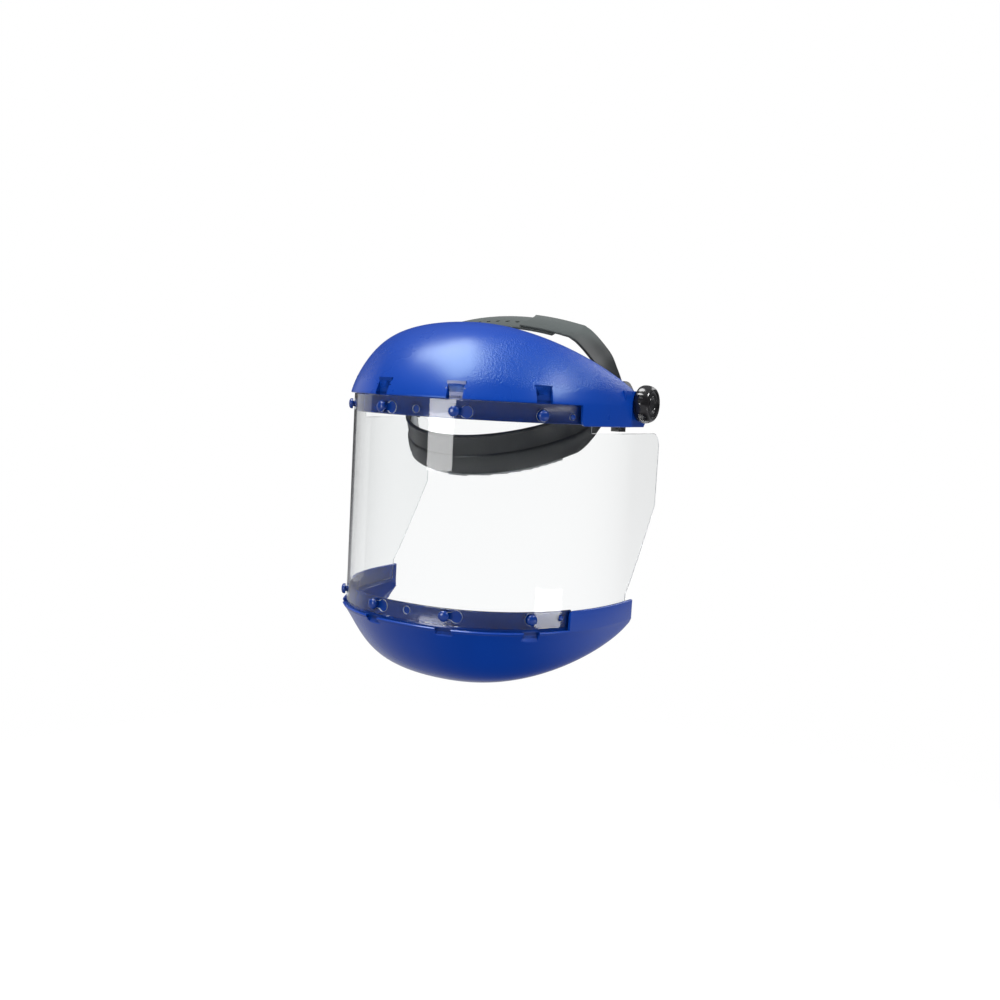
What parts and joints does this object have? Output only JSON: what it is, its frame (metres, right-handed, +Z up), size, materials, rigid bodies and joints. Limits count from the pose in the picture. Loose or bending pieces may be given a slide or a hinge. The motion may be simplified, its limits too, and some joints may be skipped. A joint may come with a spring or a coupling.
{
  "type": "face shield",
  "caption": "Dual-crown face shield: clear wrap-round window held by a brow crown and a chin guard, tilting on a ratchet headgear.",
  "frame": {"origin": "middle of the tilt axis, on the line through both pivot bolts, inside the wearer's head", "axes": "+X to the wearer's left along the tilt axis, -Y to the front, +Z up with the window upright"},
  "size_m": [0.2524, 0.2597, 0.287],
  "materials": {
    "crown_blue": "glossy moulded thermoplastic, pebble-grained on the sides of the crown",
    "clear_sheet": "clear polished polycarbonate sheet",
    "headgear_grey": "satin moulded polyethylene",
    "strap_grey": "satin moulded polyethylene",
    "knob_black": "moulded nylon with a soft gloss",
    "gear_acetal": "natural acetal",
    "plated_steel": "zinc-plated steel",
    "friction_rubber": "pressed friction disc",
    "brow_foam": "cloth-faced foam"
  },
  "bodies": {
    "headgear": {"headband": "headgear_grey", "sweatband": "brow_foam", "top_strap_left": "strap_grey", "top_strap_right": "strap_grey", "rear_strap_left": "headgear_grey", "rear_strap_right": "headgear_grey", "pivot_block_left": "headgear_grey", "pivot_block_right": "headgear_grey", "pivot_bolt_left": "plated_steel", "pivot_bolt_right": "plated_steel", "friction_washer_left": "friction_rubber", "friction_washer_right": "friction_rubber"},
    "shield": {"crown": "crown_blue", "chin_guard": "crown_blue", "window": "clear_sheet"},
    "knob_left": {"pivot_knob_left": "knob_black", "knob_nut_left": "plated_steel", "spring_washer_left": "plated_steel"},
    "knob_right": {"pivot_knob_right": "knob_black", "knob_nut_right": "plated_steel", "spring_washer_right": "plated_steel"},
    "ratchet": {"ratchet_housing": "headgear_grey", "ratchet_cover": "headgear_grey", "nape_pad": "brow_foam", "pawl_spring": "plated_steel"},
    "ratchet_drive": {"ratchet_knob": "knob_black", "ratchet_pinion": "gear_acetal"}
  },
  "joints": [
    {"name": "shield_tilt", "type": "hinge", "parent": "headgear", "child": "shield", "pos_m": [0, 0, 0], "axis": [-1, 0, 0], "range_deg": [-10, 75]},
    {"name": "knob_left_turn", "type": "hinge", "parent": "headgear", "child": "knob_left", "pos_m": [0.1184, 0, 0], "axis": [1, 0, 0], "range_deg": [-180, 90]},
    {"name": "knob_right_turn", "type": "hinge", "parent": "headgear", "child": "knob_right", "pos_m": [-0.1184, 0, 0], "axis": [-1, 0, 0], "range_deg": [-180, 90]},
    {"name": "band_size", "type": "slide", "parent": "headgear", "child": "ratchet", "axis": [0, -1, 0], "range_m": [0, 0.012], "deforming": ["rear_strap_left", "rear_strap_right"]},
    {"name": "ratchet_turn", "type": "hinge", "parent": "ratchet", "child": "ratchet_drive", "pos_m": [0, 0.108, -0.007], "axis": [0, 1, 0], "range_deg": [0, 143.24]}
  ],
  "couplings": [
    {"joint": "band_size", "follows": "ratchet_turn", "m_per_rad": 0.0048}
  ]
}
